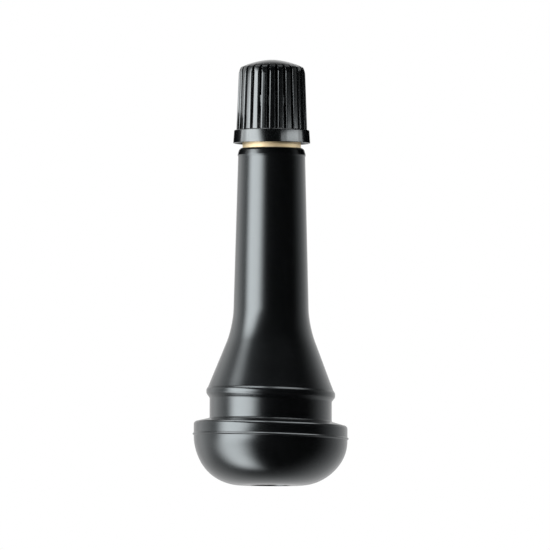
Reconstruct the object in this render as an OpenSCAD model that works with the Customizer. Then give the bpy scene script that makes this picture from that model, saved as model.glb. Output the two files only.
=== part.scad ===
// Snap-in rubber tyre valve with a screwed dust cap, in millimetres.
// The valve stands on the flat of its base with its axis on Z, and heights are measured from that flat.
// The two screw threads are plain cylinders at their outer diameters.

/* [Rubber body] */
// Diameter of the base button
base_d = 19.6; // [18.5:0.1:24]
// Radius of the round under the base
base_round = 6; // [4:0.1:6.3]
// Height at which the base's shoulder meets the neck
base_h = 8.3; // [8:0.05:10]
// Fall of the shoulder from the neck to the rim of the base, in degrees
shoulder_slope = 14; // [5:1:25]
// Radius of the rim's upper edge
shoulder_edge = 0.5; // [0.2:0.05:0.8]
// How far the mould's parting ridge stands out of the base
ridge_proud = 0.12; // [0.05:0.01:0.3]
// Height of the parting ridge
ridge_h = 0.3; // [0.2:0.02:0.5]
// Diameter of the neck that sits in the rim hole
neck_d = 15.5; // [14:0.1:17]
// Width of the neck between the base and the bead
groove_w = 2.7; // [1.8:0.1:4.5]
// Diameter of the bead that snaps through the rim hole
bead_d = 16.2; // [16:0.1:18]
// Height of the bead's upright land
bead_land = 0.5; // [0.3:0.05:1]
// Radius of the bead's two edges
bead_edge = 0.25; // [0.1:0.05:0.4]
// Radius in the two corners of the neck
neck_fillet = 0.25; // [0.05:0.05:0.4]
// Angle of the flare above the bead, from the axis
flare_angle = 21.4; // [16:0.2:28]
// Radius that blends the flare into the sleeve
flare_blend = 8; // [3:0.5:12]
// Diameter of the sleeve at its top
sleeve_d = 8.5; // [8.3:0.1:9.2]
// Draft of the sleeve, from the axis
sleeve_draft = 1.5; // [0.5:0.1:2]
// Height of the rolled lip round the sleeve's top
lip_h = 0.9; // [0.6:0.05:1.4]
// How far the lip stands out of the sleeve
lip_proud = 0.06; // [0.02:0.01:0.15]
// Height over which the lip swells out of the sleeve
lip_swell = 0.25; // [0.1:0.05:0.4]
// Radius of the lip's top edge
lip_edge = 0.45; // [0.1:0.05:0.5]
// Height of the rubber
rubber_h = 42.8; // [36:0.2:56]
// Diameter of the air opening in the base's flat
inlet_d = 5.2; // [4.4:0.1:6]

/* [Brass stem] */
// Outer diameter of the cap thread
thread_d = 7.7; // [7.6:0.05:7.8]
// Diameter of the plain neck below the cap thread
relief_d = 7.4; // [7.2:0.05:7.5]
// Length of the plain neck that shows above the rubber
relief_len = 1; // [0.8:0.05:1.6]
// Length of stem that stands out of the rubber
exposed_len = 5.7; // [5:0.1:9]
// Depth to which the plain neck runs into the rubber
shoulder_len = 1.5; // [0.8:0.1:3]
// Diameter of the shank inside the rubber
shank_d = 6.6; // [6.4:0.1:7]
// Diameter of the foot that anchors the stem
foot_d = 9.6; // [8:0.1:11]
// Thickness of the foot
foot_t = 1.3; // [0.8:0.1:2]
// Height of the foot above the base's flat
foot_z = 2.4; // [1.6:0.1:3]
// Diameter of the air passage below the core
passage_d = 3.4; // [2.6:0.1:3.8]
// Diameter of the chamber round the core's lower half
chamber_d = 4.1; // [4:0.05:4.6]
// Depth of the chamber below the stem's mouth
chamber_depth = 19; // [18:0.5:22]
// Diameter of the core's threaded bore
core_bore_d = 5.3; // [5.1:0.05:5.5]
// Length of the tapered seat for the core's gasket
seat_len = 2; // [1.6:0.1:2.6]
// Chamfer on the mouth and on the start of the cap thread
mouth_chamfer = 0.35; // [0.1:0.05:0.45]

/* [Valve core] */
// Drop of the plunger's tip below the mouth
pin_drop = 0.3; // [0:0.05:0.8]
// Diameter of the plunger pin
pin_d = 1.2; // [0.9:0.05:1.4]
// Drop of the plug's tang below the mouth
tang_drop = 0.6; // [0.3:0.05:1]
// Height of the tang that the core key turns
tang_h = 2.4; // [1.8:0.1:3]
// Width of the tang
tang_w = 4; // [3.4:0.1:4.6]
// Thickness of the tang across its flats
tang_t = 2.4; // [2.2:0.1:2.8]
// Length of the plug's thread
plug_thread_len = 3.2; // [2.5:0.1:4]
// Diameter of the air hole through the plug
plug_hole_d = 1.8; // [1.7:0.05:2]
// Diameter of the swivel head that the barrel grips
swivel_d = 3.4; // [3.2:0.05:3.5]
// Thickness of the swivel head, and length of the neck above it
swivel_t = 0.6; // [0.4:0.05:0.8]
// Diameter of the neck above the swivel head
swivel_neck_d = 2.6; // [2.3:0.05:2.9]
// Diameter of the barrel's crimped cup
cup_rim_d = 4.4; // [4.2:0.05:4.6]
// Height of the gasket on the barrel
gasket_h = 1.3; // [0.9:0.05:1.6]
// Diameter of the barrel below the gasket
barrel_d = 3.2; // [3.1:0.05:3.4]
// Length of the barrel below the gasket
barrel_len = 4.5; // [4:0.1:5.5]
// Diameter of the spring's room in the barrel
barrel_bore_d = 2.4; // [2.3:0.05:2.5]
// Thickness of the barrel's end wall, with its seat lip
end_wall = 0.9; // [0.7:0.05:1.2]
// Diameter of the air hole through the end wall
end_hole_d = 1.8; // [1.6:0.05:1.9]
// Diameter of the seat lip along its middle
seat_lip_d = 2.3; // [2.2:0.05:2.5]
// Width of the seat lip's land
seat_lip_w = 0.2; // [0.1:0.05:0.25]
// Height of the seat lip
seat_lip_h = 0.3; // [0.2:0.05:0.4]
// Diameter of the plunger's collar, which the spring pushes
collar_pin_d = 2.2; // [2.1:0.02:2.24]
// Thickness of the plunger's collar
collar_pin_t = 0.35; // [0.2:0.05:0.5]
// Diameter of the rivet that holds the plunger's cup
rivet_d = 1.7; // [1.5:0.05:2]
// Height of the rivet
rivet_h = 0.25; // [0.15:0.05:0.4]
// Radius of the rounded edges of the pin's tip and rivet
pin_edge = 0.12; // [0.05:0.01:0.14]
// Diameter of the plunger's cup
plunger_cup_d = 3.4; // [3.2:0.05:3.6]
// Height of the plunger's cup
plunger_cup_h = 1.15; // [1:0.05:1.5]
// Wall and floor of the plunger's cup
plunger_cup_wall = 0.25; // [0.15:0.05:0.4]
// Height of the rubber washer in the plunger's cup
seat_washer_h = 1; // [0.8:0.05:1.3]
// Wire diameter of the spring
spring_wire_d = 0.26; // [0.2:0.02:0.3]
// Turns of the spring
spring_turns = 7; // [5:1:8]
// Pitch of the closed turn at each end of the spring
closed_pitch = 0.31; // [0.3:0.01:0.36]

/* [Cap] */
// Gap between the rubber and the cap
cap_gap = 0.6; // [0.3:0.05:1.5]
// Diameter of the collar round the cap's mouth
collar_d = 9.8; // [9.6:0.1:11]
// Height of the collar
collar_h = 1.7; // [1.2:0.1:2.4]
// How far the collar draws in towards its top
collar_draft = 0.12; // [0:0.01:0.2]
// Diameter over the ribs just above the collar
rib_d = 9; // [8.9:0.05:9.5]
// Draft of the ribs, from the axis
rib_draft = 2.2; // [1:0.1:2.4]
// Number of ribs round the cap
rib_count = 25; // [20:1:32]
// Radius of each rib's rounded face
rib_r = 0.6; // [0.5:0.01:0.7]
// Depth of the flutes between the ribs
flute_depth = 0.2; // [0.1:0.02:0.22]
// Radius of the crown's dome
dome_r = 8.5; // [5.5:0.1:10]
// Radius of the crown's edge
crown_edge = 0.6; // [0.1:0.05:0.6]
// Thickness of the crown on the axis
crown_t = 1.7; // [1.4:0.1:2.5]
// Diameter of the room over the plunger's tip
tip_room_d = 5.5; // [5.2:0.1:5.8]
// Height of the room over the cap's washer
tip_room_h = 3; // [2:0.1:4]
// Thickness of the cap's washer
washer_t = 0.8; // [0.5:0.05:1.2]

/* [Fits] */
// Radial clearance between turned pieces that screw or slide
fit_gap = 0.05; // [0.02:0.01:0.06]
// Clearance between pieces that seat on each other
seat_gap = 0.02; // [0.01:0.005:0.03]

/* [Hidden] */
$fn = 96;

// Steps on a rounded edge, and how far a cutter runs past what it cuts
arc_step = 6;
past = 1;

// Heights up the rubber body
ridge_z = base_round + 0.75 * ridge_h;
rim_z = base_h - (base_d - neck_d) / 2 * tan(shoulder_slope);
bead_z = base_h + groove_w;
bead_low_z = bead_z + (bead_d - neck_d) / 2;
bead_high_z = bead_low_z + bead_land;

// The flare and the sleeve are two straight lines that meet where the blend is rounded off
sleeve_foot_r = sleeve_d / 2 + (rubber_h - lip_h) * tan(sleeve_draft);
flare_foot_r = bead_d / 2 + bead_high_z * tan(flare_angle);
flare_top_z = (flare_foot_r - sleeve_foot_r) / (tan(flare_angle) - tan(sleeve_draft));
flare_top_r = sleeve_foot_r - flare_top_z * tan(sleeve_draft);

// Heights on the stem
mouth_z = rubber_h + exposed_len;
stem_shoulder_z = rubber_h - shoulder_len;
thread_z = rubber_h + relief_len;
foot_top_z = foot_z + foot_t;

// Heights down the core, from the stem's mouth
plug_top_z = mouth_z - tang_drop;
plug_thread_z = plug_top_z - tang_h;
plug_end_z = plug_thread_z - plug_thread_len;
swivel_z = plug_end_z - swivel_t;
swivel_end_z = swivel_z - swivel_t;
cup_top_z = plug_end_z - seat_gap;
cup_floor_z = swivel_end_z - seat_gap;
gasket_z = cup_floor_z - seat_gap;
gasket_end_z = gasket_z - gasket_h;
barrel_end_z = gasket_end_z - barrel_len;
spring_floor_z = barrel_end_z + end_wall;
pin_collar_z = cup_floor_z - collar_pin_t - fit_gap;
washer_top_z = barrel_end_z - seat_gap;
plunger_cup_floor_z = washer_top_z - seat_washer_h - seat_gap;
plunger_cup_end_z = plunger_cup_floor_z - plunger_cup_wall;
rivet_z = plunger_cup_end_z - seat_gap - rivet_h;

// The gasket's taper is the seat's, so both come from one line
seat_z = gasket_z + (seat_len - gasket_h) / 2;
seat_slope = (core_bore_d - chamber_d) / 2 / seat_len;
function seat_radius(z) = core_bore_d / 2 - seat_slope * (seat_z - z);

// Heights and radii on the cap
cap_z = rubber_h + cap_gap;
collar_top_z = cap_z + collar_h;
skirt_z = cap_z + collar_h / 2;
washer_seat_z = mouth_z + washer_t + 2 * seat_gap;
crown_room_z = washer_seat_z + tip_room_h;
cap_top_z = crown_room_z + crown_t;
cap_bore_d = thread_d + 2 * fit_gap;
dome_z = cap_top_z - dome_r;
// The rib line meets the dome where both have the same radius
crown_r = dome_edge(rib_d / 2, 6);
crown_angle = asin(crown_r / dome_r);

// Radius of the ribs at a height, and the dome's edge found by a few passes between the two
function rib_radius(z) = rib_d / 2 - (z - collar_top_z) * tan(rib_draft);
function dome_height(r) = dome_z + sqrt(dome_r * dome_r - r * r);
function dome_edge(r, passes) = passes == 0 ? r : dome_edge(rib_radius(dome_height(r)), passes - 1);

// An outline of [radius, height, edge radius] corners, with each corner rounded by its edge radius
function outline(corners) = let (n = len(corners))
    [for (i = [0 : n - 1]) each corner(corners[(i + n - 1) % n], corners[i], corners[(i + 1) % n])];
function corner(before, at, after) =
    is_undef(at[2]) ? [[at[0], at[1]]] : rounded(flat(before), flat(at), flat(after), at[2]);
function flat(p) = [p[0], p[1]];
function unit(v) = v / norm(v);
function rounded(before, at, after, wanted) =
    let (
        u = unit(before - at),
        v = unit(after - at),
        half = acos(u * v) / 2,
        room = min(norm(before - at), norm(after - at)),
        r = min(wanted, room * tan(half)),
        centre = at + unit(u + v) * r / sin(half),
        start = at + u * r / tan(half) - centre,
        end = at + v * r / tan(half) - centre,
        side = sign(start[0] * end[1] - start[1] * end[0]),
        turn = (180 - 2 * half) * side,
        steps = ceil(abs(turn) / arc_step)
    )
    [for (i = [0 : steps]) centre + turned(start, turn * i / steps)];
function turned(p, a) = [p[0] * cos(a) - p[1] * sin(a), p[0] * sin(a) + p[1] * cos(a)];

module revolve(points) {
    rotate_extrude() polygon(points);
}

// Corners of the stem's outside, from the foot up, grown sideways by a gap for the rubber that is moulded on it
function stem_corners(gap) = [
    [foot_d / 2 + gap, foot_z],
    [foot_d / 2 + gap, foot_top_z],
    [shank_d / 2 + gap, foot_top_z],
    [shank_d / 2 + gap, stem_shoulder_z],
    [relief_d / 2 + gap, stem_shoulder_z],
];

// The moulded body: round base, groove for the wheel rim, bead, flare and sleeve
module rubber_body() {
    upward = [
        [inlet_d / 2, 0],
        [base_d / 2, 0, base_round],
        [base_d / 2, ridge_z - ridge_h / 2],
        [base_d / 2 + ridge_proud, ridge_z - ridge_h / 4],
        [base_d / 2 + ridge_proud, ridge_z + ridge_h / 4],
        [base_d / 2, ridge_z + ridge_h / 2],
        [base_d / 2, rim_z, shoulder_edge],
        [neck_d / 2, base_h, neck_fillet],
        [neck_d / 2, bead_z, neck_fillet],
        [bead_d / 2, bead_low_z, bead_edge],
        [bead_d / 2, bead_high_z, bead_edge],
        [flare_top_r, flare_top_z, flare_blend],
        [sleeve_d / 2, rubber_h - lip_h],
        [sleeve_d / 2 + lip_proud, rubber_h - lip_h + lip_swell],
        [sleeve_d / 2 + lip_proud, rubber_h, lip_edge],
        [relief_d / 2 + seat_gap, rubber_h],
    ];
    inside = stem_corners(seat_gap);
    downward = [for (i = [len(inside) - 1 : -1 : 0]) inside[i]];
    color("#17191b") revolve(concat(outline(upward), downward, [[passage_d / 2, foot_z]]));
}

// The turned stem: foot, shank, cap thread and the stepped bore that holds the core
module brass_stem() {
    outside = concat(stem_corners(0), [
        [relief_d / 2, thread_z],
        [thread_d / 2, thread_z + (thread_d - relief_d) / 2],
        [thread_d / 2, mouth_z - mouth_chamfer],
        [thread_d / 2 - mouth_chamfer, mouth_z],
    ]);
    bore = [
        [core_bore_d / 2 + mouth_chamfer, mouth_z],
        [core_bore_d / 2, mouth_z - mouth_chamfer],
        [core_bore_d / 2, seat_z],
        [chamber_d / 2, seat_z - seat_len],
        [chamber_d / 2, mouth_z - chamber_depth],
        [passage_d / 2, mouth_z - chamber_depth - (chamber_d - passage_d) / 2],
        [passage_d / 2, foot_z],
    ];
    color("#c9a557") revolve(concat(outside, bore));
}

// The threaded plug, with a flat tang for the core key and a swivel head that turns in the barrel
module core_plug() {
    plug_r = core_bore_d / 2 - fit_gap;
    neck_r = swivel_neck_d / 2;
    color("#cfae62") difference() {
        revolve([
            [0, swivel_end_z],
            [swivel_d / 2, swivel_end_z],
            [swivel_d / 2, swivel_z],
            [neck_r, swivel_z],
            [neck_r, plug_end_z],
            [plug_r, plug_end_z],
            [plug_r, plug_thread_z],
            [tang_w / 2, plug_thread_z],
            [tang_w / 2, plug_top_z],
            [0, plug_top_z],
        ]);
        translate([0, 0, swivel_end_z - past]) cylinder(d = plug_hole_d, h = plug_top_z - swivel_end_z + 2 * past);
        for (side = [-1, 1])
            translate([-tang_w / 2, side > 0 ? tang_t / 2 : -tang_t / 2 - tang_w, plug_thread_z])
                cube([tang_w, tang_w, tang_h + past]);
    }
}

// The barrel: crimped cup round the plug's head, groove for the gasket, spring room and seat lip
module core_barrel() {
    neck_r = swivel_neck_d / 2 + fit_gap;
    lip_z = barrel_end_z + seat_lip_h;
    color("#d8bd78") revolve([
        [neck_r, cup_top_z],
        [cup_rim_d / 2, cup_top_z],
        [cup_rim_d / 2, cup_floor_z],
        [barrel_d / 2, cup_floor_z],
        [barrel_d / 2, lip_z],
        [seat_lip_d / 2 + seat_lip_w / 2, barrel_end_z],
        [seat_lip_d / 2 - seat_lip_w / 2, barrel_end_z],
        [end_hole_d / 2, lip_z],
        [end_hole_d / 2, spring_floor_z],
        [barrel_bore_d / 2, spring_floor_z],
        [barrel_bore_d / 2, cup_floor_z],
        [swivel_d / 2 + fit_gap, cup_floor_z],
        [swivel_d / 2 + fit_gap, swivel_z + seat_gap],
        [neck_r, swivel_z + seat_gap],
    ]);
}

// The tapered gasket that seals the barrel in the stem's seat
module barrel_gasket() {
    color("#b9362c") revolve([
        [barrel_d / 2 + seat_gap, gasket_end_z],
        [seat_radius(gasket_end_z) - seat_gap, gasket_end_z],
        [seat_radius(gasket_z) - seat_gap, gasket_z],
        [barrel_d / 2 + seat_gap, gasket_z],
    ]);
}

// The plunger pin: rounded tip, collar for the spring, and a riveted end under the cup
module plunger_pin() {
    pin_r = pin_d / 2;
    color("#d9c48c") revolve(outline([
        [0, rivet_z],
        [rivet_d / 2, rivet_z, pin_edge],
        [rivet_d / 2, rivet_z + rivet_h],
        [pin_r, rivet_z + rivet_h],
        [pin_r, pin_collar_z],
        [collar_pin_d / 2, pin_collar_z],
        [collar_pin_d / 2, pin_collar_z + collar_pin_t],
        [pin_r, pin_collar_z + collar_pin_t],
        [pin_r, mouth_z - pin_drop, pin_edge],
        [0, mouth_z - pin_drop],
    ]));
}

// The drawn cup on the end of the pin
module plunger_cup() {
    hole_r = pin_d / 2 + seat_gap;
    cup_rim_z = plunger_cup_end_z + plunger_cup_h;
    inner_r = plunger_cup_d / 2 - plunger_cup_wall;
    color("#c9a557") revolve(outline([
        [hole_r, plunger_cup_end_z],
        [plunger_cup_d / 2, plunger_cup_end_z, plunger_cup_wall],
        [plunger_cup_d / 2, cup_rim_z],
        [inner_r, cup_rim_z],
        [inner_r, plunger_cup_floor_z],
        [hole_r, plunger_cup_floor_z],
    ]));
}

// The rubber washer in the cup, which closes on the barrel's lip
module seat_washer() {
    color("#262626") revolve([
        [pin_d / 2 + seat_gap, plunger_cup_floor_z + seat_gap],
        [plunger_cup_d / 2 - plunger_cup_wall - seat_gap, plunger_cup_floor_z + seat_gap],
        [plunger_cup_d / 2 - plunger_cup_wall - seat_gap, washer_top_z],
        [pin_d / 2 + seat_gap, washer_top_z],
    ]);
}

// The coil spring between the barrel's end wall and the pin's collar, with a closed turn at each end
module core_spring() {
    sides = 8;
    turn_steps = 16;
    wire_r = spring_wire_d / 2;
    coil_r = (barrel_bore_d + pin_d) / 4;
    low = spring_floor_z + wire_r + seat_gap;
    high = pin_collar_z - wire_r - seat_gap;
    open_pitch = (high - low - 2 * closed_pitch) / (spring_turns - 2);
    count = spring_turns * turn_steps;
    function height(t) = low + closed_pitch * min(t, 1) + open_pitch * max(0, min(t - 1, spring_turns - 2))
        + closed_pitch * max(0, t - spring_turns + 1);
    function ring(i) = let (t = i / turn_steps, a = 360 * t)
        [for (k = [0 : sides - 1]) let (b = 360 * k / sides, r = coil_r + wire_r * cos(b))
            [r * cos(a), r * sin(a), height(t) + wire_r * sin(b)]];
    points = [for (i = [0 : count]) each ring(i)];
    function at(i, k) = i * sides + k % sides;
    walls = [for (i = [0 : count - 1], k = [0 : sides - 1])
        [at(i, k), at(i + 1, k), at(i + 1, k + 1), at(i, k + 1)]];
    first = [for (k = [0 : sides - 1]) at(0, k)];
    last = [for (k = [sides - 1 : -1 : 0]) at(count, k)];
    color("#b8bcc0") polyhedron(points, concat(walls, [first, last]), convexity = 10);
}

// The flat washer that the cap presses on the stem's mouth
module cap_washer() {
    inner_r = tip_room_d / 2 - fit_gap;
    outer_r = cap_bore_d / 2 - fit_gap;
    color("#3a3d40") revolve([
        [inner_r, mouth_z + seat_gap],
        [outer_r, mouth_z + seat_gap],
        [outer_r, washer_seat_z - seat_gap],
        [inner_r, washer_seat_z - seat_gap],
    ]);
}

// The moulded cap: a ribbed skirt under a domed crown, a collar round its mouth, and a stepped bore
module dust_cap() {
    bore = [
        [0, cap_z - past],
        [cap_bore_d / 2 + mouth_chamfer + past, cap_z - past],
        [cap_bore_d / 2, cap_z + mouth_chamfer],
        [cap_bore_d / 2, washer_seat_z],
        [tip_room_d / 2, washer_seat_z],
        [tip_room_d / 2, crown_room_z],
        [0, crown_room_z],
    ];
    color("#1d2022") difference() {
        union() {
            cap_collar();
            intersection() {
                cap_skirt();
                cap_crown();
            }
        }
        revolve(bore);
    }
}

module cap_collar() {
    revolve(outline([
        [0, cap_z],
        [collar_d / 2, cap_z],
        [collar_d / 2 - collar_draft, collar_top_z, collar_draft],
        [0, collar_top_z],
    ]));
}

// The skirt runs from inside the collar to past the crown, which then trims it
module cap_skirt() {
    height = cap_top_z - skirt_z;
    root_r = rib_radius(skirt_z) - flute_depth;
    translate([0, 0, skirt_z]) {
        cylinder(r1 = root_r, r2 = root_r - height * tan(rib_draft), h = height);
        for (i = [0 : rib_count - 1])
            rotate([0, 0, 360 * i / rib_count])
                translate([rib_radius(skirt_z) - rib_r, 0, 0])
                    rotate([0, -rib_draft, 0])
                        cylinder(r = rib_r, h = height);
    }
}

// The form that trims the skirt: just clear of the ribs at the sides, with the dome on top
module cap_crown() {
    dome_steps = 10;
    dome = [for (i = [1 : dome_steps]) let (a = crown_angle * (1 - i / dome_steps))
        [dome_r * sin(a), dome_z + dome_r * cos(a)]];
    revolve(outline(concat([
        [0, cap_z + mouth_chamfer],
        [collar_d / 2, cap_z + mouth_chamfer],
        [crown_r, dome_height(crown_r), crown_edge],
    ], dome)));
}

rubber_body();
brass_stem();
core_plug();
core_barrel();
barrel_gasket();
plunger_pin();
plunger_cup();
seat_washer();
core_spring();
cap_washer();
dust_cap();
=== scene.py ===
import math

import bmesh
import bpy
from mathutils import Matrix, Vector


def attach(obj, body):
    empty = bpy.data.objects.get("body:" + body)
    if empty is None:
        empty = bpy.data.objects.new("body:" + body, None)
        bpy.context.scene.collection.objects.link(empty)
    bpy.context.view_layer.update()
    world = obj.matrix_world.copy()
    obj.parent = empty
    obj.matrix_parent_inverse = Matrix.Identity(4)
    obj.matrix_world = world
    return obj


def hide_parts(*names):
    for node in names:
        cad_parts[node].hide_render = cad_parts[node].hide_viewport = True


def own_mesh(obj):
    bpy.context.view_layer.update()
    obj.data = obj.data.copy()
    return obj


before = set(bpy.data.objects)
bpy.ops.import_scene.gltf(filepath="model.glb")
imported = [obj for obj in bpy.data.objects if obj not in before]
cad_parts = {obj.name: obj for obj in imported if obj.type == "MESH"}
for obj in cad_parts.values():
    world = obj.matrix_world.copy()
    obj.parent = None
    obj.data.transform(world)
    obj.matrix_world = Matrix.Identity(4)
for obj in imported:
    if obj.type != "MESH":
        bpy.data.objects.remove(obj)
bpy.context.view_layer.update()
scene = bpy.context.scene
mm = 0.001
print("frame loaded:", len(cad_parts), "nodes")


# Drawing and spinning

# how fine the meshes are: the shortest piece of a rounded edge, a hair and a ledge in mm,
# and the distances for cutting, levelling and merging in metres
meshing = {"shortest": 0.012, "fewest": 3, "hair": 1e-4, "ledge": 1e-3, "cut": 1e-7, "level": 1e-6,
           "merge": 1e-7, "mergeThread": 1e-6, "mergePiece": 2e-7}
# worn edges: the bend in radians per mm where wear starts, what it takes on top to be full,
# and the least span in mm that a bend is measured over
wear = {"starts": 0.6, "full": 4.0, "leastSpan": 0.01}
centre, axisUp = (0, 0, 0), (0, 0, 1)
fullTurn = 2 * math.pi


# a section in the XZ plane from (radius, height, edge radius) corners in mm, with its edges rounded
# in pieces of up to arcStep degrees
def drawSection(corners, arcStep):
    bm = bmesh.new()
    points = [Vector((r * mm, 0, z * mm)) for r, z, edge in corners]
    verts = [bm.verts.new(p) for p in points]
    bm.faces.new(verts)
    for i, vert in enumerate(verts):
        edge = corners[i][2]
        if not edge:
            continue
        before, after = points[i - 1] - points[i], points[(i + 1) % len(points)] - points[i]
        turn = math.pi - before.angle(after)
        pieces = min(math.degrees(turn) / arcStep, turn * edge / meshing["shortest"])
        bmesh.ops.bevel(bm, geom=[vert], offset=edge * mm * math.tan(turn / 2), offset_type="OFFSET",
                        segments=max(meshing["fewest"], round(pieces)), profile=0.5,
                        affect="VERTICES", material=-1)
    bmesh.ops.delete(bm, geom=bm.faces[:], context="FACES_ONLY")
    return bm


# takes out the section's edges whose two ends both pass the test
def openSection(bm, test):
    gone = [e for e in bm.edges if all(test(v.co.x / mm, v.co.z / mm) for v in e.verts)]
    bmesh.ops.delete(bm, geom=gone, context="EDGES")


def spinSection(bm, steps):
    bmesh.ops.spin(bm, geom=bm.verts[:] + bm.edges[:], cent=centre, axis=axisUp, dvec=(0, 0, 0),
                   angle=fullTurn, steps=steps, use_merge=True, use_duplicate=False)
    bmesh.ops.remove_doubles(bm, verts=bm.verts, dist=meshing["merge"])
    bmesh.ops.recalc_face_normals(bm, faces=bm.faces)


# cuts the mesh level at a height in mm; with a side of 1 or -1, what lies above or below goes
def cutLevel(bm, height, side=0):
    bmesh.ops.bisect_plane(bm, geom=bm.verts[:] + bm.edges[:] + bm.faces[:], dist=meshing["cut"],
                           plane_co=(0, 0, height * mm), plane_no=(0, 0, side or 1), clear_outer=side != 0)


def radiusOf(vert):
    return math.hypot(vert.co.x, vert.co.y) / mm


def setRadius(vert, radius):
    grow = radius * mm / math.hypot(vert.co.x, vert.co.y)
    vert.co.x *= grow
    vert.co.y *= grow


# a right-handed helical face: one pitch of thread spun up the axis, merged turn by turn, then cut level
def spinThread(low, high, valley, crest, pitch, crestShare, shift, steps):
    bm = bmesh.new()
    flat = pitch * crestShare
    line = [(valley, 0), (valley, flat), (crest, pitch / 2), (crest, pitch / 2 + flat), (valley, pitch)]
    start = low - 2 * pitch + shift
    verts = [bm.verts.new((r * mm, 0, (start + z) * mm)) for r, z in line]
    edges = [bm.edges.new(pair) for pair in zip(verts, verts[1:])]
    turns = math.ceil((high - low) / pitch) + 4  # two spare turns at each end
    bmesh.ops.spin(bm, geom=verts + edges, cent=centre, axis=axisUp, dvec=(0, 0, pitch * mm / steps),
                   angle=fullTurn * turns, steps=steps * turns, use_merge=False, use_duplicate=False)
    bmesh.ops.remove_doubles(bm, verts=bm.verts, dist=meshing["mergeThread"])
    cutLevel(bm, low, -1)
    cutLevel(bm, high, 1)
    return bm


# the open rim that lies at a height
def rimAt(bm, height):
    return [e for e in bm.edges if e.is_boundary
            and all(abs(v.co.z - height * mm) < meshing["level"] for v in e.verts)]


# draws an open rim along (radius, height) stops and returns the rim it ends with
def growRim(bm, rim, stops):
    for radius, height in stops:
        made = bmesh.ops.extrude_edge_only(bm, edges=rim)["geom"]
        rim = [e for e in made if isinstance(e, bmesh.types.BMEdge) and e.is_boundary]
        for vert in {v for e in rim for v in e.verts}:
            setRadius(vert, radius)
            vert.co.z = height * mm
    return rim


def addTo(bm, other):
    mesh = bpy.data.meshes.new("joined")
    other.to_mesh(mesh)
    other.free()
    bm.from_mesh(mesh)
    bpy.data.meshes.remove(mesh)


# how sharply the surface turns outwards at each point, as 0 to 1, for the worn edges
def markEdges(bm, mesh):
    worn = []
    for vert in bm.verts:
        bend = 0
        for edge in vert.link_edges:
            if len(edge.link_faces) == 2:
                a, b = (f.calc_center_median() for f in edge.link_faces)
                span = max((a - b).length / mm, wear["leastSpan"])
                bend = max(bend, edge.calc_face_angle_signed(0) / span)
        worn.append(min(1, max(0, (bend - wear["starts"]) / wear["full"])))
    mesh.attributes.new("worn", "FLOAT", "POINT").data.foreach_set("value", worn)


# makes the object's piece; edges that turn by more than sharp degrees stay crisp
def finishPiece(bm, name, material, body, node, sharp, flatFaces=True):
    bmesh.ops.remove_doubles(bm, verts=bm.verts, dist=meshing["mergePiece"])
    bmesh.ops.recalc_face_normals(bm, faces=bm.faces)
    mesh = bpy.data.meshes.new(name)
    bm.normal_update()
    bm.to_mesh(mesh)
    markEdges(bm, mesh)
    bm.free()
    mesh.shade_smooth()
    mesh.set_sharp_from_angle(angle=math.radians(sharp))
    mesh.materials.append(material)
    piece = bpy.data.objects.new(name, mesh)
    scene.collection.objects.link(piece)
    if flatFaces:  # wide faces shade flat beside their rounded edges
        piece.modifiers.new("flatFaces", "WEIGHTED_NORMAL").keep_sharp = True
    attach(piece, body)
    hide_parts(node)
    return piece


# Shared effects, each a node group of values that change over the surface

def startGroup(name, inputs, outputs):
    tree = bpy.data.node_groups.new(name, "ShaderNodeTree")
    for label, value in inputs.items():
        tree.interface.new_socket(label, in_out="INPUT", socket_type="NodeSocketFloat").default_value = value
    for label in outputs:
        tree.interface.new_socket(label, in_out="OUTPUT", socket_type="NodeSocketFloat")
    return tree, tree.nodes.new("NodeGroupInput"), tree.nodes.new("NodeGroupOutput")


def addNode(tree, kind, links=None, **settings):
    node = tree.nodes.new(kind)
    for key, value in settings.items():
        setattr(node, key, value)
    for key, value in (links or {}).items():
        socket = node.inputs[key]
        if isinstance(value, bpy.types.NodeSocket):
            tree.links.new(value, socket)
        else:
            socket.default_value = value
    return node


def maths(tree, operation, a, b=0.0, clamp=False):
    return addNode(tree, "ShaderNodeMath", {0: a, 1: b}, operation=operation, use_clamp=clamp).outputs[0]


def ramp(tree, value, low, high, toLow=0.0, toHigh=1.0):
    links = {"Value": value, "From Min": low, "From Max": high, "To Min": toLow, "To Max": toHigh}
    return addNode(tree, "ShaderNodeMapRange", links, interpolation_type="SMOOTHSTEP").outputs["Result"]


def noise(tree, vector, scale, detail, rough=0.5):
    links = {"Vector": vector, "Scale": scale, "Detail": detail, "Roughness": rough}
    return addNode(tree, "ShaderNodeTexNoise", links).outputs["Fac"]


# a value that strays from its middle with a noise, whose own middle is 0.5
def stray(tree, middle, drift, spread):
    return maths(tree, "ADD", middle, maths(tree, "MULTIPLY", maths(tree, "SUBTRACT", drift, 0.5), spread))


def mixColours(tree, share, a, b):  # 6 and 7 are the Mix node's colour inputs, and 2 its colour output
    return addNode(tree, "ShaderNodeMix", {"Factor": share, 6: a, 7: b}, data_type="RGBA").outputs[2]


skinEffect = {"fine": {"detail": 3.0, "rough": 0.6}, "fineShare": 0.35,
              "waves": {"scale": 420.0, "detail": 2.0},
              "drift": {"scale": 700.0, "detail": 4.0, "rough": 0.6}}


# moulded skin: a fine grain on slow waves, and a roughness that drifts
def makeSkinGroup():
    e = skinEffect
    tree, start, end = startGroup("mouldedSkin", {"Grain": 9000.0, "Rough": 0.3, "Spread": 0.06},
                                  ("Height", "Roughness"))
    where = addNode(tree, "ShaderNodeTexCoord").outputs["Object"]
    fine = noise(tree, where, start.outputs["Grain"], **e["fine"])
    waves = noise(tree, where, **e["waves"])
    height = maths(tree, "ADD", maths(tree, "MULTIPLY", fine, e["fineShare"]), waves)
    drift = noise(tree, where, **e["drift"])
    rough = stray(tree, start.outputs["Rough"], drift, start.outputs["Spread"])
    tree.links.new(height, end.inputs["Height"])
    tree.links.new(rough, end.inputs["Roughness"])
    return tree


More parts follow.
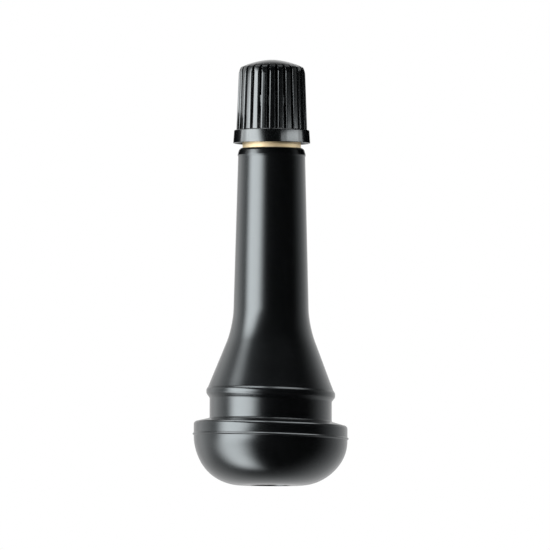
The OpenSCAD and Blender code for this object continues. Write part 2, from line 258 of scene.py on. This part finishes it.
turnedEffect = {"ringDetail": 2.0, "drift": {"scale": 900.0, "detail": 4.0, "rough": 0.6},
                "toneFrom": (0.3, 0.7)}


# turned metal: rings left by the tool, round the axis on the walls and in circles on the ends
def makeTurnedGroup():
    e = turnedEffect
    tree, start, end = startGroup("turnedRings", {"Rings": 14000.0, "Rough": 0.3, "Spread": 0.12},
                                  ("Height", "Roughness", "Tone"))
    where = addNode(tree, "ShaderNodeTexCoord").outputs["Object"]
    parts = addNode(tree, "ShaderNodeSeparateXYZ", {0: where}).outputs
    flat = addNode(tree, "ShaderNodeCombineXYZ", {0: parts[0], 1: parts[1]}).outputs[0]
    out = addNode(tree, "ShaderNodeVectorMath", {0: flat}, operation="LENGTH").outputs["Value"]
    along = maths(tree, "ADD", parts[2], out)
    links = {"W": along, "Scale": start.outputs["Rings"], "Detail": e["ringDetail"]}
    rings = addNode(tree, "ShaderNodeTexNoise", links, noise_dimensions="1D").outputs["Fac"]
    drift = noise(tree, where, **e["drift"])
    rough = stray(tree, start.outputs["Rough"], drift, start.outputs["Spread"])
    tree.links.new(rings, end.inputs["Height"])
    tree.links.new(rough, end.inputs["Roughness"])
    tree.links.new(ramp(tree, drift, *e["toneFrom"]), end.inputs["Tone"])
    return tree


rubEffect = {"breaks": {"detail": 4.0, "rough": 0.6}, "breaksFrom": (0.32, 0.62), "breaksTo": (0.35, 1.0)}


# rubbed edges: the piece's own edge mark, broken up so that no edge is worn evenly
def makeRubGroup():
    e = rubEffect
    tree, start, end = startGroup("rubbedEdges", {"Amount": 0.5, "Breaks": 1600.0}, ("Mask",))
    where = addNode(tree, "ShaderNodeTexCoord").outputs["Object"]
    mark = addNode(tree, "ShaderNodeAttribute", attribute_name="worn").outputs["Fac"]
    breaks = noise(tree, where, start.outputs["Breaks"], **e["breaks"])
    broken = maths(tree, "MULTIPLY", mark, ramp(tree, breaks, *e["breaksFrom"], *e["breaksTo"]))
    mask = maths(tree, "MULTIPLY", broken, start.outputs["Amount"], clamp=True)
    tree.links.new(mask, end.inputs["Mask"])
    return tree


dustEffect = {"upFrom": (0.1, 1.0), "upTo": (0.12, 1.0),
              "cloud": {"scale": 380.0, "detail": 5.0, "rough": 0.65}, "cloudFrom": (0.4, 0.72),
              "cloudShare": 0.6, "speckDetail": 1.0, "specksFrom": (0.64, 0.72), "speckShare": 0.8}


# a thin film of dust, more of it on what faces up
def makeDustGroup():
    e = dustEffect
    tree, start, end = startGroup("settledDust", {"Amount": 0.2, "Specks": 5200.0}, ("Mask",))
    coords = addNode(tree, "ShaderNodeTexCoord")
    up = addNode(tree, "ShaderNodeSeparateXYZ", {0: coords.outputs["Normal"]}).outputs[2]
    facing = ramp(tree, up, *e["upFrom"], *e["upTo"])
    cloud = ramp(tree, noise(tree, coords.outputs["Object"], **e["cloud"]), *e["cloudFrom"])
    specks = noise(tree, coords.outputs["Object"], start.outputs["Specks"], e["speckDetail"])
    specks = ramp(tree, specks, *e["specksFrom"])
    film = maths(tree, "ADD", maths(tree, "MULTIPLY", cloud, e["cloudShare"]),
                 maths(tree, "MULTIPLY", specks, e["speckShare"]))
    settled = maths(tree, "MULTIPLY", film, facing)
    mask = maths(tree, "MULTIPLY", settled, start.outputs["Amount"], clamp=True)
    tree.links.new(mask, end.inputs["Mask"])
    return tree


skinGroup = makeSkinGroup()
turnedGroup = makeTurnedGroup()
rubGroup = makeRubGroup()
dustGroup = makeDustGroup()
print("shared effects made")


# Finishes

def useGroup(tree, group, **values):
    node = addNode(tree, "ShaderNodeGroup", node_tree=group)
    for key, value in values.items():
        node.inputs[key].default_value = value
    return node.outputs


def startFinish(name, constants):
    material = bpy.data.materials.new(name)
    material.use_nodes = True
    shader = material.node_tree.nodes["Principled BSDF"]
    for key, value in constants.items():
        shader.inputs[key].default_value = value
    return material, material.node_tree, shader


def addBump(tree, shader, strength, depth, height):
    bump = addNode(tree, "ShaderNodeBump", {"Strength": strength, "Distance": depth, "Height": height})
    tree.links.new(bump.outputs[0], shader.inputs["Normal"])


moulded = {"mottle": {"scale": 260.0, "detail": 5.0, "rough": 0.62}, "mottleFrom": (0.35, 0.7),
           "dustRough": 0.35, "grainDepth": 0.00002}


# the mouldings, the rubber and the cap's plastic among them
def makeMouldedFinish(name, look):
    material, tree, shader = startFinish(name, {
        "Specular IOR Level": look["shine"], "Metallic": 0.0, "Specular Tint": look["sheen"],
        "Coat Weight": look["film"], "Coat Roughness": look["filmRough"]})
    skin = useGroup(tree, skinGroup, Grain=look["grain"], Rough=look["rough"], Spread=look["roughSpread"])
    rub = useGroup(tree, rubGroup, Amount=look["rub"])["Mask"]
    dust = useGroup(tree, dustGroup, Amount=look["dust"])["Mask"]
    where = addNode(tree, "ShaderNodeTexCoord").outputs["Object"]
    mottle = ramp(tree, noise(tree, where, **moulded["mottle"]), *moulded["mottleFrom"])
    colour = mixColours(tree, mottle, look["colour"], look["mottled"])
    colour = mixColours(tree, rub, colour, look["rubbed"])
    colour = mixColours(tree, dust, colour, look["dusty"])
    tree.links.new(colour, shader.inputs["Base Color"])
    rough = maths(tree, "ADD", skin["Roughness"], maths(tree, "MULTIPLY", dust, moulded["dustRough"]))
    tree.links.new(rough, shader.inputs["Roughness"])
    addBump(tree, shader, look["bump"], moulded["grainDepth"], skin["Height"])
    return material


turned = {"ringDepth": 0.000006}


def makeTurnedFinish(name, look):
    material, tree, shader = startFinish(name, {"Metallic": look["metal"]})
    rings = useGroup(tree, turnedGroup, Rings=look["rings"], Rough=look["rough"], Spread=look["roughSpread"])
    colour = mixColours(tree, rings["Tone"], look["colour"], look["toned"])
    tree.links.new(colour, shader.inputs["Base Color"])
    tree.links.new(rings["Roughness"], shader.inputs["Roughness"])
    addBump(tree, shader, look["bump"], turned["ringDepth"], rings["Height"])
    return material


rubberLook = {"colour": (0.0022, 0.0027, 0.0030, 1), "mottled": (0.0032, 0.0038, 0.0042, 1),
              "rubbed": (0.02, 0.022, 0.024, 1), "dusty": (0.07, 0.07, 0.066, 1), "shine": 1.0,
              "sheen": (0.86, 0.96, 1.0, 1), "film": 0.45, "filmRough": 0.18,
              "rough": 0.26, "roughSpread": 0.05, "grain": 9000.0, "bump": 0.03, "rub": 0.3, "dust": 0.02}
capLook = {"colour": (0.0022, 0.0026, 0.0029, 1), "mottled": (0.0032, 0.0037, 0.0040, 1),
           "rubbed": (0.02, 0.021, 0.022, 1), "dusty": (0.07, 0.07, 0.066, 1), "shine": 1.0,
           "sheen": (0.88, 0.97, 1.0, 1), "film": 0.6, "filmRough": 0.1,
           "rough": 0.2, "roughSpread": 0.05, "grain": 14000.0, "bump": 0.01, "rub": 0.1, "dust": 0.01}
sealLook = {"colour": (0.02, 0.021, 0.022, 1), "mottled": (0.032, 0.033, 0.034, 1),
            "rubbed": (0.05, 0.05, 0.05, 1), "dusty": (0.11, 0.11, 0.105, 1), "shine": 0.4,
            "sheen": (1, 1, 1, 1), "film": 0.0, "filmRough": 0.3,
            "rough": 0.55, "roughSpread": 0.1, "grain": 11000.0, "bump": 0.2, "rub": 0.0, "dust": 0.05}
gasketLook = {"colour": (0.42, 0.045, 0.03, 1), "mottled": (0.5, 0.07, 0.045, 1),
              "rubbed": (0.6, 0.16, 0.12, 1), "dusty": (0.4, 0.2, 0.17, 1), "shine": 0.4,
              "sheen": (1, 1, 1, 1), "film": 0.0, "filmRough": 0.3,
              "rough": 0.5, "roughSpread": 0.1, "grain": 11000.0, "bump": 0.2, "rub": 0.0, "dust": 0.05}
stemLook = {"colour": (0.79, 0.67, 0.46, 1), "toned": (0.73, 0.59, 0.37, 1), "rings": 16000.0,
            "rough": 0.6, "roughSpread": 0.12, "bump": 0.3, "metal": 0.9}
coreLook = {"colour": (0.84, 0.69, 0.42, 1), "toned": (0.74, 0.56, 0.29, 1), "rings": 20000.0,
            "rough": 0.28, "roughSpread": 0.12, "bump": 0.3, "metal": 1.0}
springLook = {"colour": (0.62, 0.63, 0.65, 1), "toned": (0.5, 0.5, 0.51, 1), "rings": 26000.0,
              "rough": 0.26, "roughSpread": 0.1, "bump": 0.15, "metal": 1.0}

bodyRubber = makeMouldedFinish("bodyRubber", rubberLook)
capPlastic = makeMouldedFinish("capPlastic", capLook)
sealRubber = makeMouldedFinish("sealRubber", sealLook)
gasketRed = makeMouldedFinish("gasketRed", gasketLook)
stemBrass = makeTurnedFinish("stemBrass", stemLook)
coreBrass = makeTurnedFinish("coreBrass", coreLook)
springSteel = makeTurnedFinish("springSteel", springLook)
print("finishes made")


# Rubber body: round base, neck, bead, flare and sleeve round the stem
rubber = {"steps": 192, "arcStep": 3, "sharp": 40, "inlet": 2.6, "inletEdge": 0.12,
          "base": 9.75, "baseRound": 6.0, "ridge": 6.225, "ridgeProud": 0.2, "ridgeHeight": 0.36,
          "ridgeFoot": 0.05, "ridgeTip": 0.09, "rim": 7.789, "rimEdge": 0.42,
          "shoulder": 8.3, "neck": 7.75, "fillet": 0.22, "groove": 10.85,
          "bead": 8.17, "beadLow": 11.42, "beadHigh": 11.95, "beadEdge": 0.42,
          "crease": (7.95, 12.25), "creaseEdge": 0.3, "flare": (4.8176, 20.226), "flareBlend": 12.0,
          "sleeve": (4.255, 41.7), "sleeveEdge": 0.1, "lip": (4.34, 41.88), "lipBend": 0.15,
          "lipTop": 4.09, "lipEdge": 0.45, "top": 42.8, "bore": 3.72, "boreEnd": 41.3,
          "shank": 3.32, "foot": 4.82, "footTop": 3.7, "footLow": 2.4, "passage": 1.7,
          "lean": 1.7, "leanFrom": (1.0, 5.5), "leanTo": (12.6, 19.0), "leanClear": 0.3,
          "leanRows": (13.2, 14.4, 15.6, 16.8)}


def easeBetween(value, low, high):
    t = min(1, max(0, (value - low) / (high - low)))
    return t * t * (3 - 2 * t)


def makeRubberBody():
    d = rubber
    ridgeLow, ridgeHigh = d["ridge"] - d["ridgeHeight"] / 2, d["ridge"] + d["ridgeHeight"] / 2
    bm = drawSection([
        (d["inlet"], 0, d["inletEdge"]), (d["base"], 0, d["baseRound"]),
        (d["base"], ridgeLow, d["ridgeFoot"]), (d["base"] + d["ridgeProud"], d["ridge"], d["ridgeTip"]),
        (d["base"], ridgeHigh, d["ridgeFoot"]), (d["base"], d["rim"], d["rimEdge"]),
        (d["neck"], d["shoulder"], d["fillet"]), (d["neck"], d["groove"], d["fillet"]),
        (d["bead"], d["beadLow"], d["beadEdge"]), (d["bead"], d["beadHigh"], d["beadEdge"]),
        (*d["crease"], d["creaseEdge"]), (*d["flare"], d["flareBlend"]),
        (*d["sleeve"], d["sleeveEdge"]), (*d["lip"], d["lipBend"]),
        (d["lipTop"], d["top"], d["lipEdge"]), (d["bore"], d["top"], 0),
        (d["bore"], d["boreEnd"], 0), (d["shank"], d["boreEnd"], 0), (d["shank"], d["footTop"], 0),
        (d["foot"], d["footTop"], 0), (d["foot"], d["footLow"], 0), (d["passage"], d["footLow"], 0)],
        d["arcStep"])
    spinSection(bm, d["steps"])
    for height in d["leanRows"]:
        cutLevel(bm, height)
    # the moulding's base sits a little askew on its stem, as on the one photographed
    slope = math.tan(math.radians(d["lean"]))
    for vert in bm.verts:
        if radiusOf(vert) > d["foot"] + d["leanClear"]:
            height = vert.co.z / mm
            begun, done = easeBetween(height, *d["leanFrom"]), easeBetween(height, *d["leanTo"])
            vert.co.z -= slope * vert.co.x * begun * (1 - done)
    finishPiece(bm, "rubberMoulding", bodyRubber, "valve", "rubber_body", d["sharp"],
                flatFaces=False)


makeRubberBody()
print("rubber body made")


# Brass stem: foot and shank in the rubber, a plain neck, the cap thread and the core's bore
stem = {"steps": 96, "sharp": 28, "pitch": 0.79375, "crest": 3.85, "valley": 3.4, "crestShare": 0.14,
        "neck": 3.7, "threadLow": 43.8, "threadStart": 0.7, "threadEnd": 0.5, "mouth": 48.5,
        "mouthRadius": 3.46, "shoulder": 41.3, "shank": 3.3, "foot": 4.8, "footTop": 3.7, "footLow": 2.4,
        "footFace": 0.3, "lead": 2.98, "leadDepth": 0.35, "bore": 2.65, "seatTop": 41.41, "chamber": 2.05,
        "seatEnd": 39.41, "chamberEnd": 29.5, "passage": 1.7, "passageTop": 29.15}


def makeBrassStem():
    d = stem
    bm = spinThread(d["threadLow"], d["mouth"], d["valley"], d["crest"], d["pitch"], d["crestShare"],
                    0, d["steps"])
    # the thread rises out of the neck and falls to the mouth's chamfer
    for vert in bm.verts:
        up, down = vert.co.z / mm - d["threadLow"], d["mouth"] - vert.co.z / mm
        most = min(d["neck"] + up, d["mouthRadius"] + down)
        least = max(d["valley"], d["neck"] - up * d["threadStart"], d["mouthRadius"] - down * d["threadEnd"])
        setRadius(vert, max(least, min(most, radiusOf(vert))))
    under = growRim(bm, rimAt(bm, d["threadLow"]), [
        (d["neck"], d["shoulder"]), (d["shank"], d["shoulder"]), (d["shank"], d["footTop"]),
        (d["foot"], d["footTop"]), (d["foot"], d["footLow"]), (d["passage"] + d["footFace"], d["footLow"])])
    inside = growRim(bm, rimAt(bm, d["mouth"]), [
        (d["lead"], d["mouth"]), (d["bore"], d["mouth"] - d["leadDepth"]), (d["bore"], d["seatTop"]),
        (d["chamber"], d["seatEnd"]), (d["chamber"], d["chamberEnd"]), (d["passage"], d["passageTop"]),
        (d["passage"], d["footLow"])])
    bmesh.ops.bridge_loops(bm, edges=under + inside)
    finishPiece(bm, "threadedStem", stemBrass, "valve", "brass_stem", d["sharp"])


makeBrassStem()
print("brass stem made")


# Dust cap: collar, ribbed skirt and domed crown outside, a thread and the washer's seat inside
cap = {"ribSteps": 28, "arcStep": 1.2, "sharp": 38, "ribs": 25, "ribTurn": -2.9,
       "low": 43.4, "foot": 4.76, "hollow": (4.7, 4.62, 43.92),
       "collar": 4.9, "collarFoot": 0.06, "collarTop": 45.1, "collarUpper": 4.78, "collarEdge": 0.14,
       "rib": 4.5, "ribFoot": 0.06, "draft": 2.2, "ribEdge": 0.17,
       "flute": (0.24, 1.0), "fluteDeepens": (49.4, 53.0), "fluteLean": (74, 83), "fluteRoot": 0.08,
       "fluteReach": 0.09, "shoulder": 52.62, "shoulderLean": 30, "shoulderRound": 1.9,
       "top": 54.04, "dome": 8.5, "crownEdge": 0.08, "crownShare": 0.6, "crownTries": 8,
       "bore": 3.9, "threadLow": 44.2, "threadStart": 0.7, "threadHigh": 48.3, "threadEnd": 0.9,
       "ridge": 3.47, "washerSeat": 49.34, "tipRoom": 2.75, "roomTop": 52.34, "roomCentre": 0.4}


def domeHeight(radius):
    return cap["top"] - cap["dome"] + math.sqrt(cap["dome"] ** 2 - radius ** 2)


def ribTip(height):
    return cap["rib"] - (height - cap["collarTop"]) * math.tan(math.radians(cap["draft"]))


# how far the skirt lies below its rib tips: a flat rib, a round edge, a straight flank and a round flute
def ribDepth(angle, tip, height):
    share = fullTurn / cap["ribs"]
    side = abs((angle - math.radians(cap["ribTurn"]) + share / 2) % share - share / 2) * tip
    half, edge, root = share * tip / 2, cap["ribEdge"], cap["fluteRoot"]
    deeper = easeBetween(height, *cap["fluteDeepens"])
    flute, lean = (low + (high - low) * deeper for low, high in (cap["flute"], cap["fluteLean"]))
    lean = math.radians(lean)
    flank = (flute - (edge + root) * (1 - math.cos(lean))) / math.tan(lean)
    face = half - (edge + root) * math.sin(lean) - flank
    if side <= face:
        return 0
    if side <= face + edge * math.sin(lean):
        return edge - math.sqrt(edge ** 2 - (side - face) ** 2)
    if side <= half - root * math.sin(lean):
        return edge * (1 - math.cos(lean)) + (side - face - edge * math.sin(lean)) * math.tan(lean)
    return flute - root + math.sqrt(root ** 2 - (half - side) ** 2)


# the outside: the ribs bend in slowly over their shoulder and meet the dome at a crisp edge
def makeCapOutside():
    d = cap
    shoulder = ribTip(d["shoulder"])
    edge = shoulder
    for i in range(d["crownTries"]):  # closes in on where the leaning ribs meet the dome
        edge = shoulder - (domeHeight(edge) - d["shoulder"]) * math.tan(math.radians(d["shoulderLean"]))
    turn = math.asin(edge / d["dome"])
    domeCorner = d["dome"] * math.tan(turn / 2)
    domeRound = (domeCorner - d["crownShare"] * d["crownEdge"]) / math.tan(turn / 2)
    bm = drawSection([
        (d["foot"], d["low"], 0), (d["collar"], d["low"], d["collarFoot"]),
        (d["collarUpper"], d["collarTop"], d["collarEdge"]), (d["rib"], d["collarTop"], d["ribFoot"]),
        (shoulder, d["shoulder"], d["shoulderRound"]), (edge, domeHeight(edge), d["crownEdge"]),
        (domeCorner, d["top"], domeRound), (0, d["top"], 0)], d["arcStep"])
    hair = meshing["hair"]
    # opens the closing line from the crown's middle to the foot; the ledge on the collar's top goes with it
    openSection(bm, lambda r, z: (r < hair and z > d["collarTop"])
                or (r < d["foot"] + hair and z < d["collarTop"]))
    spinSection(bm, d["ribs"] * d["ribSteps"])
    # the flutes are cut straight up, so they run out on the dome
    for vert in bm.verts:
        height, radius = vert.co.z / mm, radiusOf(vert)
        if height > d["collarTop"] - meshing["ledge"] and hair < radius < d["rib"] + d["fluteReach"]:
            tip = ribTip(height)
            depth = ribDepth(math.atan2(vert.co.y, vert.co.x), tip, height)
            setRadius(vert, min(radius, tip - depth) if radius < tip + hair else radius - depth)
    return bm


# the inside: a hollow in the collar, the thread, the washer's seat and the room over the pin's tip
def makeCapInside():
    d = cap
    bm = spinThread(d["threadLow"], d["threadHigh"], d["ridge"], d["bore"], stem["pitch"],
                    stem["crestShare"], stem["threadLow"] - d["threadLow"], stem["steps"])
    for vert in bm.verts:
        up, down = vert.co.z / mm - d["threadLow"], d["threadHigh"] - vert.co.z / mm
        least = max(d["bore"] - d["threadStart"] * up, d["bore"] - d["threadEnd"] * down)
        setRadius(vert, max(radiusOf(vert), least))
    wide, upper, roof = d["hollow"]
    growRim(bm, rimAt(bm, d["threadLow"]), [(d["bore"], roof), (upper, roof), (wide, d["low"])])
    ceiling = growRim(bm, rimAt(bm, d["threadHigh"]), [
        (d["bore"], d["washerSeat"]), (d["tipRoom"], d["washerSeat"]), (d["tipRoom"], d["roomTop"]),
        (d["roomCentre"], d["roomTop"])])
    bmesh.ops.edgeloop_fill(bm, edges=ceiling)
    return bm


def makeDustCap():
    bm = makeCapOutside()
    addTo(bm, makeCapInside())
    bmesh.ops.bridge_loops(bm, edges=rimAt(bm, cap["low"]))
    finishPiece(bm, "ribbedCap", capPlastic, "cap", "dust_cap", cap["sharp"])


makeDustCap()
print("dust cap made")


# Core spring: drawn wire with a closed turn at each end
spring = {"steps": 28, "sides": 12, "sharp": 60, "wire": 0.13, "coil": 0.9, "low": 36.31, "high": 40.53,
          "turns": 7, "closedPitch": 0.31, "floor": 36.18, "press": 1.1}


def makeCoreSpring():
    d = spring
    bm = bmesh.new()
    bmesh.ops.create_circle(bm, cap_ends=False, segments=d["sides"], radius=d["wire"] * mm)
    bmesh.ops.rotate(bm, verts=bm.verts, cent=centre, matrix=Matrix.Rotation(math.pi / 2, 3, "X"))
    bmesh.ops.translate(bm, verts=bm.verts, vec=(d["coil"] * mm, 0, d["low"] * mm))
    openTurns = d["turns"] - 2
    openPitch = (d["high"] - d["low"] - 2 * d["closedPitch"]) / openTurns
    last = bm.verts[:] + bm.edges[:]
    for turns, pitch in ((1, d["closedPitch"]), (openTurns, openPitch), (1, d["closedPitch"])):
        last = bmesh.ops.spin(bm, geom=last, cent=centre, axis=axisUp, dvec=(0, 0, pitch * mm / d["steps"]),
                              angle=fullTurn * turns, steps=d["steps"] * turns, use_merge=False,
                              use_duplicate=False)["geom_last"]
    bmesh.ops.holes_fill(bm, edges=[e for e in bm.edges if e.is_boundary], sides=0)
    coil = finishPiece(bm, "wireSpring", springSteel, "valve", "core_spring", d["sharp"],
                       flatFaces=False)
    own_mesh(coil)


makeCoreSpring()
print("core spring made")


# The turned and moulded pieces of the core and the cap's washer keep their CAD shapes
dressed = {"core_plug": coreBrass, "core_barrel": coreBrass, "plunger_pin": coreBrass,
           "plunger_cup": coreBrass, "barrel_gasket": gasketRed, "seat_washer": sealRubber,
           "cap_washer": sealRubber}
for nodeName, material in dressed.items():
    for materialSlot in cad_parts[nodeName].material_slots:
        materialSlot.material = material
print("core pieces dressed")


# Camera: close to level, from a little below, as the photograph was taken
view = {"distance": 2.0, "below": 2.6, "roll": 0.22, "side": 0.00048, "height": 0.0267,
        "lens": 1032.0, "sensor": 36.0, "clip": (0.05, 20.0)}


def makeCamera():
    camera = bpy.data.objects.new("camera", bpy.data.cameras.new("camera"))
    scene.collection.objects.link(camera)
    fall = math.radians(view["below"])
    camera.location = (view["side"], -view["distance"] * math.cos(fall),
                       view["height"] - view["distance"] * math.sin(fall))
    tilt = Matrix.Rotation(math.pi / 2 + fall, 3, "X") @ Matrix.Rotation(math.radians(view["roll"]), 3, "Z")
    camera.rotation_euler = tilt.to_euler()
    camera.data.sensor_width = view["sensor"]
    camera.data.lens = view["lens"]
    camera.data.clip_start, camera.data.clip_end = view["clip"]
    scene.camera = camera


makeCamera()
print("camera set")


# Studio: a pale floor, and a room that is dark in front of the object and white behind it, down to
# part of that overhead and underfoot
studio = {"floorSize": 1.6, "floorTiles": 8, "floorDrop": 0.00006, "floorColour": (0.82, 0.82, 0.82, 1),
          "floorRough": 0.9, "front": 0.01, "back": 0.74, "backFrom": (-0.3, 0.95),
          "backTop": (18, 42), "backTopShare": 0.1, "backLow": (-84, -44), "backLowShare": 0.6}
# soft boxes by direction in degrees: across from the photograph's side, where left is negative, and up
# from the horizon; bow slants the left and right sides, droop lowers the ends, soft blurs sides and ends
softBoxes = {
    "leftTall": {"across": (-79, -27), "bow": (0.25, 1.0), "up": (-9, 34), "droop": 0.0,
                 "soft": (24, 30), "level": 5.9},
    "leftLow": {"across": (-86, -39), "bow": (0.1, 0.1), "up": (-72, -9), "droop": 0.0,
                "soft": (36, 36), "level": 5.4},
    "leftWall": {"across": (-138, -98), "bow": (0, 0), "up": (-20, 40), "droop": 0.0,
                 "soft": (20, 30), "level": 0.4},
    "leftUpper": {"across": (-150, -22), "bow": (0, 0), "up": (67, 110), "droop": 0.12,
                  "soft": (16, 8), "level": 3.5},
    "rightUpper": {"across": (18, 150), "bow": (0, 0), "up": (67, 110), "droop": 0.12,
                   "soft": (16, 8), "level": 2.3},
}
# small pale cards beside the cap and round the stem, each lighting only the pieces it names
paleCards = {
    "capRight": {"on": ("ribbedCap", "threadedStem"), "across": 63, "near": 0.030, "wide": 0.044,
                 "tall": 0.0048, "height": 0.0479, "level": 2.0},
    "capRightInner": {"on": ("ribbedCap", "threadedStem"), "across": 63, "near": 0.031, "wide": 0.022,
                      "tall": 0.0048, "height": 0.0479, "level": 2.0},
    "capLeft": {"on": ("ribbedCap", "threadedStem"), "across": -88, "near": 0.030, "wide": 0.018,
                "tall": 0.010, "height": 0.0500, "level": 2.4},
    "stemFront": {"on": ("threadedStem",), "across": -6, "near": 0.030, "wide": 0.020,
                  "tall": 0.012, "height": 0.0450, "level": 2.0},
    "stemRight": {"on": ("threadedStem",), "across": 100, "near": 0.030, "wide": 0.030,
                  "tall": 0.012, "height": 0.0450, "level": 1.8},
}
# dark cards behind the cap's sides, seen only by what shines, which draw its edges
darkCards = {
    "capLeftEdge": {"at": (-0.0108, 0.0046), "turn": -126, "wide": 0.0110, "low": 0.0428, "high": 0.0482},
    "capRightEdge": {"at": (0.0108, 0.0046), "turn": 126, "wide": 0.0110, "low": 0.0428, "high": 0.0560},
}


def putInStudio(bm, name, material):
    mesh = bpy.data.meshes.new(name)
    bm.to_mesh(mesh)
    bm.free()
    mesh.materials.append(material)
    thing = bpy.data.objects.new(name, mesh)
    scene.collection.objects.link(thing)
    return thing


def makeFloor():
    bm = bmesh.new()
    bmesh.ops.create_grid(bm, x_segments=studio["floorTiles"], y_segments=studio["floorTiles"],
                          size=studio["floorSize"] / 2)
    bmesh.ops.translate(bm, verts=bm.verts, vec=(0, 0, -studio["floorDrop"]))
    material, tree, shader = startFinish("paleFloor", {"Base Color": studio["floorColour"],
                                                       "Roughness": studio["floorRough"]})
    # the camera looks through it from below, as in the photograph, and so does what shines
    path = addNode(tree, "ShaderNodeLightPath").outputs
    back = addNode(tree, "ShaderNodeNewGeometry").outputs["Backfacing"]
    below = maths(tree, "MULTIPLY", path["Is Camera Ray"], back)
    clear = addNode(tree, "ShaderNodeBsdfTransparent")
    mixed = addNode(tree, "ShaderNodeMixShader", {0: maths(tree, "MAXIMUM", below, path["Is Glossy Ray"]),
                                                  1: shader.outputs[0], 2: clear.outputs[0]})
    tree.links.new(mixed.outputs[0], tree.nodes["Material Output"].inputs["Surface"])
    floor = putInStudio(bm, "floor", material)


# 1 past an angle in degrees, or up to it, with a soft end
def past(tree, angle, limit, soft, ends=(0.0, 1.0)):
    limit, half = math.radians(limit), math.radians(soft) / 2
    return ramp(tree, angle, limit - half, limit + half, *ends)


def upTo(tree, angle, limit, soft):
    return past(tree, angle, limit, soft, (1.0, 0.0))


# white all round for the camera; the object sees the boxes, the white behind it and a dark room in front
def makeWorld():
    world = bpy.data.worlds.new("studioWhite")
    scene.world = world
    world.use_nodes = True
    tree = world.node_tree
    tree.nodes.clear()
    where = addNode(tree, "ShaderNodeTexCoord").outputs["Generated"]
    parts = addNode(tree, "ShaderNodeSeparateXYZ", {0: where}).outputs
    across = maths(tree, "ARCTAN2", parts[0], maths(tree, "MULTIPLY", parts[1], -1.0))
    aside = maths(tree, "ABSOLUTE", across)
    up = maths(tree, "ARCSINE", parts[2])
    steep = maths(tree, "ABSOLUTE", up)
    topFrom, topTo = (math.radians(x) for x in studio["backTop"])
    lowFrom, lowTo = (math.radians(x) for x in studio["backLow"])
    level = ramp(tree, parts[1], *studio["backFrom"], studio["front"], studio["back"])
    level = maths(tree, "MULTIPLY", level, ramp(tree, up, topFrom, topTo, 1.0, studio["backTopShare"]))
    level = maths(tree, "MULTIPLY", level, ramp(tree, up, lowFrom, lowTo, studio["backLowShare"], 1.0))
    for d in softBoxes.values():
        left, right = (maths(tree, "ADD", across, maths(tree, "MULTIPLY", steep, bow)) for bow in d["bow"])
        drooped = maths(tree, "ADD", up, maths(tree, "MULTIPLY", aside, d["droop"]))
        sideSoft, endSoft = d["soft"]
        box = maths(tree, "MULTIPLY", past(tree, left, d["across"][0], sideSoft),
                    upTo(tree, right, d["across"][1], sideSoft))
        box = maths(tree, "MULTIPLY", box, past(tree, drooped, d["up"][0], endSoft))
        box = maths(tree, "MULTIPLY", box, upTo(tree, drooped, d["up"][1], endSoft))
        level = maths(tree, "ADD", level, maths(tree, "MULTIPLY", box, d["level"]))
    seen = addNode(tree, "ShaderNodeLightPath").outputs["Is Camera Ray"]
    level = addNode(tree, "ShaderNodeMix", {"Factor": seen, "A": level, "B": 1.0},
                    data_type="FLOAT").outputs[0]
    light = addNode(tree, "ShaderNodeBackground", {"Color": (1, 1, 1, 1), "Strength": level})
    out = addNode(tree, "ShaderNodeOutputWorld")
    tree.links.new(light.outputs[0], out.inputs["Surface"])


def makePaleCards():
    for name, d in paleCards.items():
        reach = bpy.data.collections.new(name)
        for piece in d["on"]:
            reach.objects.link(bpy.data.objects[piece])
        lamp = bpy.data.lights.new(name, "AREA")
        lamp.shape, lamp.size, lamp.size_y = "RECTANGLE", d["wide"], d["tall"]
        lamp.energy = d["level"] * math.pi * d["wide"] * d["tall"]
        holder = bpy.data.objects.new(name, lamp)
        scene.collection.objects.link(holder)
        turn = math.radians(d["across"])
        holder.location = (d["near"] * math.sin(turn), -d["near"] * math.cos(turn), d["height"])
        holder.rotation_euler = (math.pi / 2, 0, turn)
        holder.light_linking.receiver_collection = reach


def makeDarkCards():
    material = startFinish("darkCard", {"Base Color": (0, 0, 0, 1), "Specular IOR Level": 0.0})[0]
    for name, d in darkCards.items():
        bm = bmesh.new()
        bmesh.ops.create_grid(bm, x_segments=1, y_segments=1, size=0.5)  # 1 m square before it is scaled
        bmesh.ops.scale(bm, verts=bm.verts, vec=(d["wide"], d["high"] - d["low"], 1))
        upright = Matrix.Rotation(math.radians(d["turn"]), 3, "Z") @ Matrix.Rotation(math.pi / 2, 3, "X")
        bmesh.ops.rotate(bm, verts=bm.verts, cent=centre, matrix=upright)
        bmesh.ops.translate(bm, verts=bm.verts, vec=(*d["at"], (d["low"] + d["high"]) / 2))
        card = putInStudio(bm, name, material)
        card.visible_camera = card.visible_diffuse = card.visible_shadow = False


makeFloor()
makeWorld()
makePaleCards()
makeDarkCards()
scene.view_settings.view_transform = "Standard"
print("studio made")
